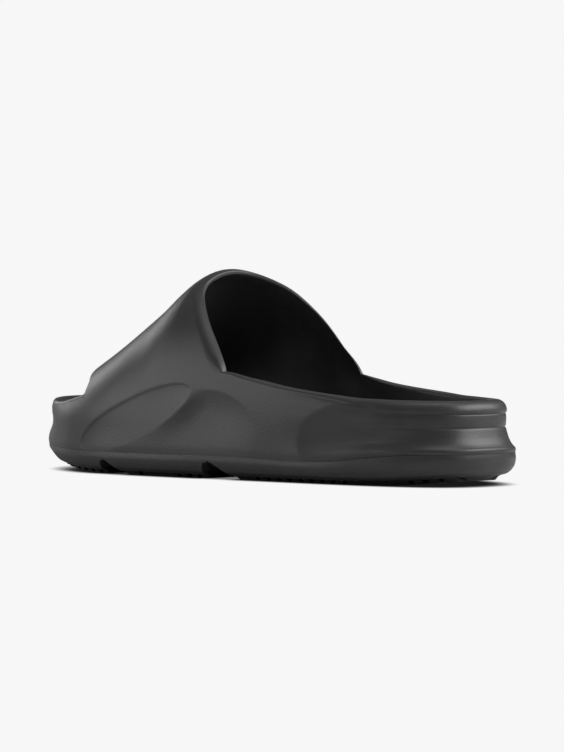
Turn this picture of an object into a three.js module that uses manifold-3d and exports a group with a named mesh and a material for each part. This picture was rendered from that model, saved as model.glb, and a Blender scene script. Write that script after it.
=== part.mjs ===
// Sport slide sandal, left foot, about EU 42, moulded in closed-cell foam.
// Millimetres. +X points to the toe, +Y to the outer side of the foot, +Z up.
// Three pieces: the hollow upper with its one broad band, the outsole with its raised core,
// and the contoured footbed that lies on the core inside the upper.

import * as THREE from "three";
import { mergeVertices } from "three/addons/utils/BufferGeometryUtils.js";
import Module from "manifold-3d";

const wasm = await Module();
wasm.setup();

// Sizes of the whole shoe
const LENGTH = 290;
const BALL_WIDTH = 110;
const BAND_HEIGHT = 99;
const CLEARANCE = 0.3;

// How the outline closes at its two ends
const HEEL_ROUND = 75;
const TOE_ROUND = 78;
const HEEL_POWER = 2.6;
const TOE_POWER = 2.25;

// The arch of the band over the foot
const SPRING_HEIGHT = 24;
const ARCH_POWER = 2.1;
const BAND_WALL = 5.6;
const BAND_SIDE_WALL = 5.2;
const COLLAR_WALL = 3.6;
const INNER_LEAN = 0.06;
const COLLAR_EDGE_ROUND = 3;
const TOE_EDGE_ROUND = 2.6;
const INNER_EDGE_ROUND = 1.2;

// Where the band starts and ends, as shares of the length, at the rim and over the ridge
const COLLAR_OUTER = 0.48;
const COLLAR_INNER = 0.419;
const COLLAR_RIDGE = 0.587;
const TOE_CORNER = 0.773;
const TOE_RIDGE = 0.835;

// The footbed and the sole
const FOOTBED_THICK = 4;
const FOOTBED_CUP = 4;
const TREAD_DEPTH = 1.8;
const TREAD_PITCH = 6.5;
const TREAD_GAP = 2.4;
const HEEL_BEVEL = 50;
const HEEL_LIFT = 3.6;
const TOE_SPRING_START = 207;
const TOE_LIFT = 9.4;

// Half widths and centre line as shares of the ball width, by share of the length
const PLAN = [
  { at: 0.0, outer: 0.345, inner: 0.355, centre: 0.0 },
  { at: 0.14, outer: 0.352, inner: 0.359, centre: 0.0 },
  { at: 0.25, outer: 0.378, inner: 0.364, centre: 0.0 },
  { at: 0.35, outer: 0.403, inner: 0.359, centre: 0.0 },
  { at: 0.45, outer: 0.429, inner: 0.364, centre: 0.0 },
  { at: 0.55, outer: 0.455, inner: 0.395, centre: -0.001 },
  { at: 0.65, outer: 0.477, inner: 0.441, centre: -0.005 },
  { at: 0.72, outer: 0.486, inner: 0.473, centre: -0.009 },
  { at: 0.8, outer: 0.477, inner: 0.491, centre: -0.018 },
  { at: 0.9, outer: 0.455, inner: 0.482, centre: -0.04 },
  { at: 1.0, outer: 0.436, inner: 0.455, centre: -0.064 },
];

// Where each section meets the line down the middle, both as shares of the length
const SPINE = [
  { at: 0.0, to: 0.165 },
  { at: 0.12, to: 0.205 },
  { at: 0.24, to: 0.265 },
  { at: 0.36, to: 0.36 },
  { at: 0.5, to: 0.5 },
  { at: 0.7, to: 0.7 },
  { at: 0.84, to: 0.836 },
  { at: 0.92, to: 0.888 },
  { at: 1.0, to: 0.925 },
];

// Heights in mm by share of the length: the joint with the sole, the top of the rim,
// the rounding of the rim, the wall at the rim and the top of the footbed
const HEIGHTS = [
  { at: 0.0, joint: 15.2, rim: 39.2, round: 5.2, wall: 10.2, bed: 28.3 },
  { at: 0.08, joint: 14.6, rim: 39.3, round: 4.9, wall: 9.8, bed: 27.6 },
  { at: 0.17, joint: 12.4, rim: 39.8, round: 3.4, wall: 8.4, bed: 26.8 },
  { at: 0.225, joint: 10.8, rim: 41.0, round: 2.0, wall: 8.0, bed: 26.9 },
  { at: 0.29, joint: 10.2, rim: 42.7, round: 1.6, wall: 7.9, bed: 27.3 },
  { at: 0.34, joint: 10.5, rim: 44.5, round: 1.6, wall: 7.8, bed: 27.5 },
  { at: 0.375, joint: 10.8, rim: 46.3, round: 1.6, wall: 7.8, bed: 27.5 },
  { at: 0.41, joint: 11.0, rim: 48.2, round: 1.6, wall: 7.0, bed: 27.3 },
  { at: 0.45, joint: 11.2, rim: 50.6, round: 1.6, wall: 6.4, bed: 26.9 },
  { at: 0.49, joint: 11.3, rim: 51.2, round: 1.6, wall: 6.2, bed: 26.2 },
  { at: 0.6, joint: 11.0, rim: 47.6, round: 1.6, wall: 6.2, bed: 24.0 },
  { at: 0.7, joint: 11.0, rim: 42.6, round: 1.7, wall: 6.4, bed: 22.2 },
  { at: 0.78, joint: 11.1, rim: 37.8, round: 1.8, wall: 7.0, bed: 21.4 },
  { at: 0.86, joint: 11.6, rim: 34.2, round: 2.4, wall: 8.2, bed: 21.6 },
  { at: 1.0, joint: 13.2, rim: 35.0, round: 2.8, wall: 8.8, bed: 23.8 },
];

// Height of the band over its ridge as a share of its greatest height
const RIDGE = [
  { at: 0.0, height: 1.0 },
  { at: 0.589, height: 1.0 },
  { at: 0.603, height: 0.987 },
  { at: 0.621, height: 0.954 },
  { at: 0.655, height: 0.872 },
  { at: 0.69, height: 0.797 },
  { at: 0.724, height: 0.727 },
  { at: 0.759, height: 0.662 },
  { at: 0.793, height: 0.605 },
  { at: 0.828, height: 0.548 },
  { at: 0.852, height: 0.512 },
  { at: 0.9, height: 0.46 },
  { at: 1.0, height: 0.41 },
];

// How far the edges of the band have leaned forward at each share of their height:
// the collar edge on the outer and the inner side, and the edge over the toes
const EDGE_LEAN = [
  { up: 0.0, outer: 0.0, inner: 0.0, toe: 0.0 },
  { up: 0.13, outer: 0.13, inner: 0.08, toe: 0.01 },
  { up: 0.25, outer: 0.26, inner: 0.17, toe: 0.04 },
  { up: 0.5, outer: 0.56, inner: 0.35, toe: 0.34 },
  { up: 0.65, outer: 0.75, inner: 0.49, toe: 0.48 },
  { up: 0.8, outer: 0.93, inner: 0.65, toe: 0.67 },
  { up: 0.9, outer: 0.995, inner: 0.81, toe: 0.83 },
  { up: 1.0, outer: 1.0, inner: 1.0, toe: 1.0 },
];

// How far the wall stands in from the widest outline in mm, by share of the height from
// the joint to the rim: along the sides, round the back of the heel, in the ribs that run
// forward from the heel, and at the toe
const RELIEF = [
  { up: 0.0, side: 0.5, heel: 0.3, rib: 0.0, toe: 0.3 },
  { up: 0.11, side: 0.0, heel: 0.3, rib: 0.0, toe: 0.0 },
  { up: 0.16, side: 0.0, heel: 1.2, rib: 0.3, toe: 0.1 },
  { up: 0.234, side: 0.0, heel: 2.3, rib: 1.2, toe: 0.5 },
  { up: 0.364, side: 0.0, heel: 3.5, rib: 2.0, toe: 1.5 },
  { up: 0.495, side: 0.0, heel: 4.3, rib: 1.5, toe: 2.3 },
  { up: 0.615, side: 0.0, heel: 5.25, rib: 0.7, toe: 2.6 },
  { up: 0.65, side: 0.0, heel: 4.85, rib: 0.55, toe: 2.55 },
  { up: 0.8, side: 0.0, heel: 4.65, rib: 0.5, toe: 2.0 },
  { up: 0.92, side: 0.0, heel: 4.8, rib: 0.8, toe: 1.9 },
  { up: 0.945, side: 0.0, heel: 5.05, rib: 0.75, toe: 1.95 },
  { up: 1.0, side: 0.0, heel: 4.3, rib: 0.0, toe: 2.4 },
];

// The edge of the outsole in mm in from the outline, by share of its height,
// along the sides, round the heel and round the toe
const SOLE_EDGE = [
  { up: 0.0, side: 7.2, heel: 9.8, toe: 11.5 },
  { up: 0.16, side: 6.4, heel: 7.6, toe: 10.0 },
  { up: 0.2, side: 3.6, heel: 4.9, toe: 8.0 },
  { up: 0.34, side: 1.6, heel: 2.2, toe: 5.0 },
  { up: 0.55, side: 0.4, heel: 0.5, toe: 2.0 },
  { up: 0.8, side: 0.0, heel: 0.0, toe: 0.4 },
  { up: 1.0, side: 0.3, heel: 0.3, toe: 0.3 },
];

// The three shallow leaf-shaped hollows of each side: centre and half sizes in mm,
// the lean of the long axis in degrees, and the depth
const FRONT_LEAF = { at: 187.3, up: 27.8, long: 39.5, short: 10.9, lean: 158.5, depth: 1.1 };
const MIDDLE_LEAF = { at: 141, up: 22.5, long: 31.5, short: 20, lean: 0, depth: 2.3 };
const REAR_LEAF = { at: 58, up: 19, long: 27, short: 18, lean: 0, depth: 1.7 };
const DIP_WIDTH = 17;

// Two flex notches across the sole: foot of the ramp, top of the ramp and front wall
// as shares of the length, and height in mm
const NOTCHES = [
  { foot: 0.676, top: 0.712, wall: 0.726, height: 7.5 },
  { foot: 0.431, top: 0.478, wall: 0.498, height: 8.7 },
];

// Stretches of the sole, as shares of the length, that carry the fine cross grooves
const GROOVED = [
  { from: 0.024, to: 0.11 },
  { from: 0.214, to: 0.41 },
  { from: 0.517, to: 0.569 },
  { from: 0.648, to: 0.662 },
  { from: 0.745, to: 0.972 },
];

// Numbers of steps in the faceted skins
const REAR_STEPS = 24;
const BAND_STEPS = 15;
const TOE_STEPS = 11;
const ARCH_STEPS = 12;
const INNER_SHARES = [0, 0.4, 0.75, 1];
const BED_SHARES = [1, 0.84, 0.5];

function mix(from, to, share) {
  return from + (to - from) * share;
}

function smooth(from, to, value) {
  const share = Math.min(1, Math.max(0, (value - from) / (to - from)));
  return share * share * (3 - 2 * share);
}

// Reads one column of a table between its rows, as a smooth curve that never overshoots
function read(table, key, column, value) {
  const last = table.length - 1;
  if (value <= table[0][key]) return table[0][column];
  if (value >= table[last][key]) return table[last][column];
  const i = table.findIndex((row) => row[key] > value) - 1;
  const step = (k) => table[k + 1][key] - table[k][key];
  const slope = (k) => (table[k + 1][column] - table[k][column]) / step(k);
  const tangent = (k) => {
    if (k === 0) return slope(0);
    if (k === last) return slope(last - 1);
    const before = slope(k - 1);
    const after = slope(k);
    return before * after <= 0 ? 0 : (2 * before * after) / (before + after);
  };
  const width = step(i);
  const t = (value - table[i][key]) / width;
  const rise = table[i + 1][column] - table[i][column];
  const start = tangent(i) * width;
  const end = tangent(i + 1) * width;
  return (
    table[i][column] +
    start * t +
    (3 * rise - 2 * start - end) * t * t +
    (start + end - 2 * rise) * t * t * t
  );
}

const plan = (column, x) => BALL_WIDTH * read(PLAN, "at", column, x / LENGTH);
const height = (column, x) => read(HEIGHTS, "at", column, x / LENGTH);
const ridgeHeight = (x) => BAND_HEIGHT * read(RIDGE, "at", "height", x / LENGTH);
const relief = (column, up) => read(RELIEF, "up", column, up);
const spineX = (x) => LENGTH * read(SPINE, "at", "to", x / LENGTH);
const rimBase = (x) => height("rim", x) - height("round", x);

// How the half width closes towards the heel and the toe
function closing(x) {
  const behind = Math.max(0, 1 - x / HEEL_ROUND);
  const ahead = Math.max(0, 1 - (LENGTH - x) / TOE_ROUND);
  const heel = Math.pow(1 - Math.pow(behind, HEEL_POWER), 1 / HEEL_POWER);
  const toe = Math.pow(1 - Math.pow(ahead, TOE_POWER), 1 / TOE_POWER);
  return heel * toe;
}

// One section: its point on the outline, its point on the spine and the way between them
function section(side, x) {
  const half = plan(side, x) * closing(x);
  const edge = [x, plan("centre", x) + (side === "outer" ? half : -half)];
  const spine = [spineX(x), plan("centre", spineX(x))];
  const reach = Math.hypot(spine[0] - edge[0], spine[1] - edge[1]);
  const inward = [(spine[0] - edge[0]) / reach, (spine[1] - edge[1]) / reach];
  return { side, x, edge, spine, reach, inward };
}

function place(where, inset, z) {
  return [
    where.edge[0] + where.inward[0] * inset,
    where.edge[1] + where.inward[1] * inset,
    z,
  ];
}

// Depth of the leaf-shaped hollows at a place on the side
function within(leaf, x, z) {
  const turn = THREE.MathUtils.degToRad(leaf.lean);
  const dx = x - leaf.at;
  const dz = z - leaf.up;
  const along = (dx * Math.cos(turn) + dz * Math.sin(turn)) / leaf.long;
  const across = (dx * Math.sin(turn) - dz * Math.cos(turn)) / leaf.short;
  return { along, across, far: Math.hypot(along, across) };
}

function frontHollow(x, z) {
  const { along, across, far } = within(FRONT_LEAF, x, z);
  if (far >= 1) return 0;
  const half = Math.sqrt(1 - along * along);
  const share = (half - across) / (2 * half);
  return FRONT_LEAF.depth * Math.sqrt(half) * Math.sin(Math.PI * Math.pow(share, 0.7));
}

// Starts steeply and levels out
function easeIn(share) {
  return 1 - Math.pow(1 - Math.min(1, Math.max(0, share)), 2);
}

function middleHollow(x, z) {
  const { far } = within(MIDDLE_LEAF, x, z);
  if (far >= 1 || x >= FRONT_LEAF.at) return 0;
  const crest = Math.max(1, within(FRONT_LEAF, x, z).far);
  const beyond = Math.hypot(x - FRONT_LEAF.at, z - FRONT_LEAF.up) * (1 - 1 / crest);
  return MIDDLE_LEAF.depth * (1 - far * far) * easeIn(beyond / DIP_WIDTH) * smooth(8, 40, z);
}

function rearHollow(x, z) {
  const { across } = within(REAR_LEAF, x, z);
  const half = Math.sqrt(Math.max(0, 1 - across * across));
  const beyond = REAR_LEAF.at + REAR_LEAF.long * half - x;
  return REAR_LEAF.depth * Math.pow(half, 0.8) * easeIn(beyond / REAR_LEAF.long);
}

const hollows = (x, z) => frontHollow(x, z) + middleHollow(x, z) + rearHollow(x, z);

// Share of the way from the wall to the spine that the arch has closed at a height
function archShare(z, ridge) {
  const up = Math.min(1, Math.max(0, (z - SPRING_HEIGHT) / (ridge - SPRING_HEIGHT)));
  return 1 - Math.pow(1 - Math.pow(up, ARCH_POWER), 1 / ARCH_POWER);
}

const heelWeight = (x) => smooth(45, 6, x);
const ribWeight = (x) => smooth(105, 40, x) * (1 - heelWeight(x));
const toeWeight = (x) => smooth(251, 274, x);
const curlWeight = (x) => (1 - heelWeight(x)) * (1 - smooth(228, 266, x));

// A point of the outer skin between the joint and the rim
function outerWall(where, z) {
  const x = where.x;
  const up = (z - height("joint", x)) / (rimBase(x) - height("joint", x));
  const heel = heelWeight(x);
  const toe = toeWeight(x);
  const stand =
    (1 - heel - toe) * (relief("side", up) + hollows(x, z)) +
    heel * relief("heel", up) +
    toe * relief("toe", up) +
    ribWeight(x) * relief("rib", up);
  const curl = archShare(z, ridgeHeight(where.spine[0])) * curlWeight(x);
  return place(where, mix(stand, where.reach, curl), z);
}

// A point of the inner skin, which follows the outer one a wall's width in
function innerInset(where, z) {
  const ridge = ridgeHeight(where.spine[0]) - BAND_WALL;
  const curl = archShare(z, ridge) * curlWeight(where.x);
  const wall = height("wall", where.x) + INNER_LEAN * (rimBase(where.x) - z);
  return mix(wall, where.reach, curl);
}

const innerWall = (where, z) => place(where, innerInset(where, z), z);

// The sections round the shoe: heel, outer side, toe, inner side
function turnOf(x) {
  return Math.acos(1 - (2 * x) / LENGTH);
}

function stations(side, collar) {
  const stops = [0, turnOf(collar * LENGTH), turnOf(TOE_CORNER * LENGTH), Math.PI];
  const counts = [REAR_STEPS, BAND_STEPS, TOE_STEPS];
  const found = [];
  counts.forEach((count, leg) => {
    for (let i = 0; i < count; i++) {
      const turn = mix(stops[leg], stops[leg + 1], i / count);
      found.push(section(side, (LENGTH * (1 - Math.cos(turn))) / 2));
    }
  });
  found.push(section(side, LENGTH));
  return found;
}

const outerSide = stations("outer", COLLAR_OUTER);
const innerSide = stations("inner", COLLAR_INNER);
const HALF = outerSide.length - 1;
const AROUND = 2 * HALF;
const ring = [...outerSide, ...innerSide.slice(1, HALF).reverse()];

// A skin of four-sided patches whose rows are lists of points
class Skin {
  constructor() {
    this.points = [];
  }
  face(a, b, c) {
    this.points.push(...a, ...b, ...c);
  }
  patch(a, b, c, d) {
    if (a !== b && a !== c && b !== c) this.face(a, b, c);
    if (a !== c && a !== d && c !== d) this.face(a, c, d);
  }
  rows(rows, closed) {
    for (let r = 0; r + 1 < rows.length; r++) {
      const count = rows[r].length;
      const end = closed ? count : count - 1;
      for (let k = 0; k < end; k++) {
        const next = (k + 1) % count;
        this.patch(rows[r][k], rows[r + 1][k], rows[r + 1][next], rows[r][next]);
      }
    }
  }
  capBelow(row) {
    const across = (k) => row[(AROUND - k) % AROUND];
    for (let k = 0; k < HALF; k++) {
      this.patch(across(k), row[k], row[k + 1], across(k + 1));
    }
  }
  capAbove(row) {
    const across = (k) => row[(AROUND - k) % AROUND];
    for (let k = 0; k < HALF; k++) {
      this.patch(row[k], across(k), across(k + 1), row[k + 1]);
    }
  }
  geometry() {
    const made = new THREE.BufferGeometry();
    made.setAttribute("position", new THREE.Float32BufferAttribute(this.points, 3));
    return mergeVertices(made, 1e-3);
  }
}

const minus = (a, b) => [a[0] - b[0], a[1] - b[1], a[2] - b[2]];
const plus = (a, b, share = 1) => [a[0] + b[0] * share, a[1] + b[1] * share, a[2] + b[2] * share];
const dot = (a, b) => a[0] * b[0] + a[1] * b[1] + a[2] * b[2];
const size = (a) => Math.hypot(...a);
const unit = (a) => a.map((value) => value / size(a));

// Wall of the band over its ridge, which thins towards the collar
function roofWall(along) {
  return mix(COLLAR_WALL, BAND_WALL, smooth(0, 0.6, along));
}

// Both skins of one side of the band, from the rim row up to the ridge
function bandGrid(side, collar, rimRow, ridgeRow, inside) {
  const rows = [rimRow];
  for (let r = 1; r < ARCH_STEPS; r++) {
    const share = r / ARCH_STEPS;
    const up = Math.sin((share * Math.PI) / 2);
    const collarLean = read(EDGE_LEAN, "up", side, up);
    const toeLean = read(EDGE_LEAN, "up", "toe", up);
    const row = [];
    for (let c = 0; c <= BAND_STEPS; c++) {
      const foot = (side === "outer" ? outerSide : innerSide)[REAR_STEPS + c];
      const top = LENGTH * mix(COLLAR_RIDGE, TOE_RIDGE, c / BAND_STEPS);
      const lean = mix(collarLean, toeLean, c / BAND_STEPS);
      const where = section(side, mix(foot.x, top, lean));
      const footRidge = ridgeHeight(foot.spine[0]) - (inside ? BAND_WALL : 0);
      const start = (rimBase(foot.x) - SPRING_HEIGHT) / (footRidge - SPRING_HEIGHT);
      const first = Math.asin(Math.pow(start, ARCH_POWER / 2));
      const turn = mix(first, Math.PI / 2, share);
      const ridge = ridgeHeight(where.spine[0]) - (inside ? roofWall(c / BAND_STEPS) : 0);
      const z = mix(SPRING_HEIGHT, ridge, Math.pow(Math.sin(turn), 2 / ARCH_POWER));
      const wall = mix(height("wall", where.x), BAND_SIDE_WALL, smooth(0, 0.4, share));
      const stand = inside ? wall : hollows(where.x, z);
      const curl = 1 - Math.pow(Math.cos(turn), 2 / ARCH_POWER);
      row.push(place(where, mix(stand, where.reach, curl), z));
    }
    rows.push(row);
  }
  rows.push(ridgeRow);
  return rows;
}

function ridgeLine(inside) {
  const line = [];
  for (let c = 0; c <= BAND_STEPS; c++) {
    const drop = inside ? roofWall(c / BAND_STEPS) : 0;
    const x = spineX(LENGTH * mix(COLLAR_RIDGE, TOE_RIDGE, c / BAND_STEPS));
    line.push([x, plan("centre", x), ridgeHeight(x) - drop]);
  }
  return line;
}

// The rounded edge that joins the outer skin to the inner one round an opening
function lipRows(stops) {
  const rows = [[], [], [], [], [], [], [], []];
  for (const stop of stops) {
    const wall = minus(stop.inside, stop.outside);
    const across = unit(wall);
    const thick = size(wall);
    const rise = size(stop.lip);
    const round = Math.min(stop.round, thick - INNER_EDGE_ROUND);
    const inner = Math.min(INNER_EDGE_ROUND, rise * 0.7);
    const at = (along, up) => plus(plus(stop.outside, across, along), stop.lip, up);
    rows[0].push(stop.outside);
    [30, 60, 90].forEach((angle, i) => {
      const turn = THREE.MathUtils.degToRad(angle);
      rows[i + 1].push(at(round * (1 - Math.cos(turn)), Math.sin(turn)));
    });
    rows[4].push(at(thick - inner, 1));
    rows[5].push(at(thick - inner * 0.3, 1 - (inner * 0.3) / rise));
    rows[6].push(at(thick, 1 - inner / rise));
    rows[7].push(stop.inside);
  }
  return rows;
}

// Which way the edge of the band rounds over at one row of its end column
function edgeWay(rows, r, end, before, past) {
  const low = rows[Math.max(0, r - 1)][end];
  const high = r + 1 < rows.length ? rows[r + 1][end] : past;
  const along = unit(minus(high, low));
  const away = minus(rows[r][end], rows[r][before]);
  return unit(plus(away, along, -dot(away, along)));
}

function buildUpper() {
  const outerRows = RELIEF.map((row) =>
    ring.map((where) => outerWall(where, mix(height("joint", where.x), rimBase(where.x), row.up))),
  );
  const innerRows = INNER_SHARES.map((share) =>
    ring.map((where) => innerWall(where, mix(height("joint", where.x), rimBase(where.x), share))),
  );
  const outerTop = outerRows[outerRows.length - 1];
  const innerTop = innerRows[innerRows.length - 1];
  const first = REAR_STEPS;
  const last = REAR_STEPS + BAND_STEPS;
  const cut = (row, side) => {
    const found = [];
    for (let k = first; k <= last; k++) found.push(row[side === "outer" ? k : AROUND - k]);
    return found;
  };
  const ridgeOut = ridgeLine(false);
  const ridgeIn = ridgeLine(true);
  const bands = {};
  for (const [side, collar] of [["outer", COLLAR_OUTER], ["inner", COLLAR_INNER]]) {
    bands[side] = {
      out: bandGrid(side, collar, cut(outerTop, side), ridgeOut, false),
      in: bandGrid(side, collar, cut(innerTop, side), ridgeIn, true),
    };
  }

  const skin = new Skin();
  skin.rows(outerRows, true);
  skin.rows([...innerRows].reverse(), true);
  skin.rows([innerRows[0], outerRows[0]], true);
  const turned = (rows) => rows.map((row) => [...row].reverse());
  skin.rows(bands.outer.out, false);
  skin.rows([...bands.outer.in].reverse(), false);
  skin.rows(turned(bands.inner.out), false);
  skin.rows(turned([...bands.inner.in].reverse()), false);

  const rimStop = (k) => {
    const round = height("round", ring[k].x);
    return { outside: outerTop[k], inside: innerTop[k], lip: [0, 0, round], round };
  };
  const pastRidge = (side, end) =>
    bands[side === "outer" ? "inner" : "outer"].out[ARCH_STEPS - 1][end];
  const edgeStop = (side, r, end, before, round) => ({
    outside: bands[side].out[r][end],
    inside: bands[side].in[r][end],
    lip: edgeWay(bands[side].out, r, end, before, pastRidge(side, end)).map(
      (value) => value * round,
    ),
    round,
  });
  // At a corner of an opening the rim and the edge of the band meet in a mitre
  const cornerStop = (side, k, end, before, round, along) => {
    const rim = rimStop(k);
    const away = edgeWay(bands[side].out, 0, end, before);
    const slide = (round - rim.round * away[2]) / (along * away[0]);
    return { ...rim, lip: [along * slide, 0, rim.round], round: rim.round };
  };
  const top = ARCH_STEPS;

  const collar = [];
  collar.push(cornerStop("inner", AROUND - first, 0, 1, COLLAR_EDGE_ROUND, -1));
  for (let k = AROUND - first + 1; k < AROUND; k++) collar.push(rimStop(k));
  for (let k = 0; k < first; k++) collar.push(rimStop(k));
  collar.push(cornerStop("outer", first, 0, 1, COLLAR_EDGE_ROUND, -1));
  for (let r = 1; r <= top; r++) collar.push(edgeStop("outer", r, 0, 1, COLLAR_EDGE_ROUND));
  for (let r = top - 1; r > 0; r--) collar.push(edgeStop("inner", r, 0, 1, COLLAR_EDGE_ROUND));
  skin.rows(lipRows(collar), true);

  const far = BAND_STEPS;
  const toe = [];
  toe.push(cornerStop("outer", last, far, far - 1, TOE_EDGE_ROUND, 1));
  for (let k = last + 1; k < AROUND - last; k++) toe.push(rimStop(k));
  toe.push(cornerStop("inner", AROUND - last, far, far - 1, TOE_EDGE_ROUND, 1));
  for (let r = 1; r <= top; r++) toe.push(edgeStop("inner", r, far, far - 1, TOE_EDGE_ROUND));
  for (let r = top - 1; r > 0; r--) toe.push(edgeStop("outer", r, far, far - 1, TOE_EDGE_ROUND));
  skin.rows(lipRows(toe), true);
  return skin.geometry();
}

// How far the tread lifts off the floor along the shoe
function lift(x) {
  const back = Math.max(0, 1 - x / HEEL_BEVEL);
  const front = Math.max(0, (x - TOE_SPRING_START) / (LENGTH - TOE_SPRING_START));
  return HEEL_LIFT * Math.pow(back, 1.6) + TOE_LIFT * front * front;
}

const bedTop = (x, share) => height("bed", x) + FOOTBED_CUP * Math.pow(share, 4);

function insetPoint(where, inset, heightAt) {
  const point = place(where, inset, 0);
  point[2] = heightAt(point[0]);
  return point;
}

function buildSoleBody() {
  const skin = new Skin();
  const bottom = ring.map((where) => insetPoint(where, where.reach * 0.6, lift));
  const edge = SOLE_EDGE.map((row) =>
    ring.map((where) => {
      const behind = mix(row.side, row.heel, heelWeight(where.x));
      const point = place(where, mix(behind, row.toe, toeWeight(where.x)), 0);
      point[2] = mix(lift(point[0]), height("joint", where.x) - CLEARANCE, row.up);
      return point;
    }),
  );
  const coreInset = (where, z) => innerInset(where, z) + CLEARANCE;
  const ledge = ring.map((where) => {
    const z = height("joint", where.x) - CLEARANCE;
    return place(where, coreInset(where, z), z);
  });
  const core = BED_SHARES.map((share) =>
    ring.map((where) => {
      const z = bedTop(where.x, share) - FOOTBED_THICK - CLEARANCE;
      return place(where, mix(where.reach, coreInset(where, z), share), z);
    }),
  );
  skin.capBelow(bottom);
  skin.rows([bottom, ...edge, ledge, ...core], true);
  skin.capAbove(core[core.length - 1]);
  return skin.geometry();
}

function buildFootbed() {
  const skin = new Skin();
  const level = (share, drop, trim) =>
    ring.map((where) => {
      const z = bedTop(where.x, share) - drop;
      const edge = innerInset(where, z) + CLEARANCE + trim;
      return place(where, mix(where.reach, edge, share), z);
    });
  const under = [...BED_SHARES].reverse().map((share) => level(share, FOOTBED_THICK, 0));
  const over = BED_SHARES.slice(1).map((share) => level(share, 0, 0));
  skin.capBelow(under[0]);
  skin.rows([...under, level(1, 0.8, 0), level(1, 0, 0.9), ...over], true);
  skin.capAbove(over[over.length - 1]);
  return skin.geometry();
}

// Solids for cutting
function solid(geometry) {
  const bare = new THREE.BufferGeometry();
  const source = geometry.index ? geometry.toNonIndexed() : geometry;
  bare.setAttribute("position", source.getAttribute("position"));
  const merged = mergeVertices(bare, 1e-3);
  return new wasm.Manifold(
    new wasm.Mesh({
      numProp: 3,
      vertProperties: merged.attributes.position.array,
      triVerts: new Uint32Array(merged.index.array),
    }),
  );
}

function geometryOf(body) {
  const mesh = body.getMesh();
  const made = new THREE.BufferGeometry();
  made.setAttribute("position", new THREE.BufferAttribute(new Float32Array(mesh.vertProperties), 3));
  made.setIndex(new THREE.BufferAttribute(new Uint32Array(mesh.triVerts), 1));
  return made;
}

// A notch: a ramp that rises towards the toe and a steep wall, right across the sole
function notchCutter(notch) {
  const shape = new THREE.Shape();
  const foot = LENGTH * notch.foot;
  const top = LENGTH * notch.top;
  const wall = LENGTH * notch.wall;
  shape.moveTo(foot, -1);
  shape.lineTo(foot, 0);
  shape.lineTo(mix(foot, top, 0.55), notch.height * 0.62);
  shape.lineTo(top, notch.height);
  shape.lineTo(mix(top, wall, 0.6), notch.height * 0.86);
  shape.lineTo(wall, 0.4);
  shape.lineTo(wall, -1);
  const cutter = new THREE.ExtrudeGeometry(shape, { depth: 2 * BALL_WIDTH, bevelEnabled: false });
  cutter.rotateX(Math.PI / 2);
  cutter.translate(0, BALL_WIDTH, 0);
  return cutter;
}

// One fine groove of the tread, bent like a shallow chevron
function grooveCutter(x) {
  const bends = [-70, 0, 70];
  const offsets = [-4, 5, -4];
  const shape = new THREE.Shape();
  bends.forEach((y, i) => {
    if (i === 0) shape.moveTo(x + offsets[i] - TREAD_GAP / 2, y);
    else shape.lineTo(x + offsets[i] - TREAD_GAP / 2, y);
  });
  [...bends].reverse().forEach((y, i) => {
    shape.lineTo(x + offsets[bends.length - 1 - i] + TREAD_GAP / 2, y);
  });
  const top = lift(x) + TREAD_DEPTH;
  const cutter = new THREE.ExtrudeGeometry(shape, { depth: top + 3, bevelEnabled: false });
  cutter.translate(0, 0, -3);
  return cutter;
}

function buildSole() {
  let body = solid(buildSoleBody());
  const cutters = NOTCHES.map((notch) => solid(notchCutter(notch)));
  for (const stretch of GROOVED) {
    for (let x = LENGTH * stretch.from; x <= LENGTH * stretch.to; x += TREAD_PITCH) {
      cutters.push(solid(grooveCutter(x)));
    }
  }
  body = body.subtract(wasm.Manifold.union(cutters));
  return geometryOf(body);
}

function piece(name, geometry, colour, roughness) {
  const material = new THREE.MeshStandardMaterial({ color: colour, roughness, metalness: 0 });
  const mesh = new THREE.Mesh(geometry, material);
  mesh.name = name;
  return mesh;
}

const group = new THREE.Group();
group.name = "sport_slide_sandal";
group.add(piece("upper", buildUpper(), 0x2e2e30, 0.62));
group.add(piece("sole", buildSole(), 0x232325, 0.7));
group.add(piece("insole", buildFootbed(), 0x29292b, 0.75));

// The origin lies in the middle of the shoe's plan, on the floor
const box = new THREE.Box3().setFromObject(group);
const middle = box.getCenter(new THREE.Vector3());
group.position.set(-middle.x, -middle.y, -box.min.z);

export default group;
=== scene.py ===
import math

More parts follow.
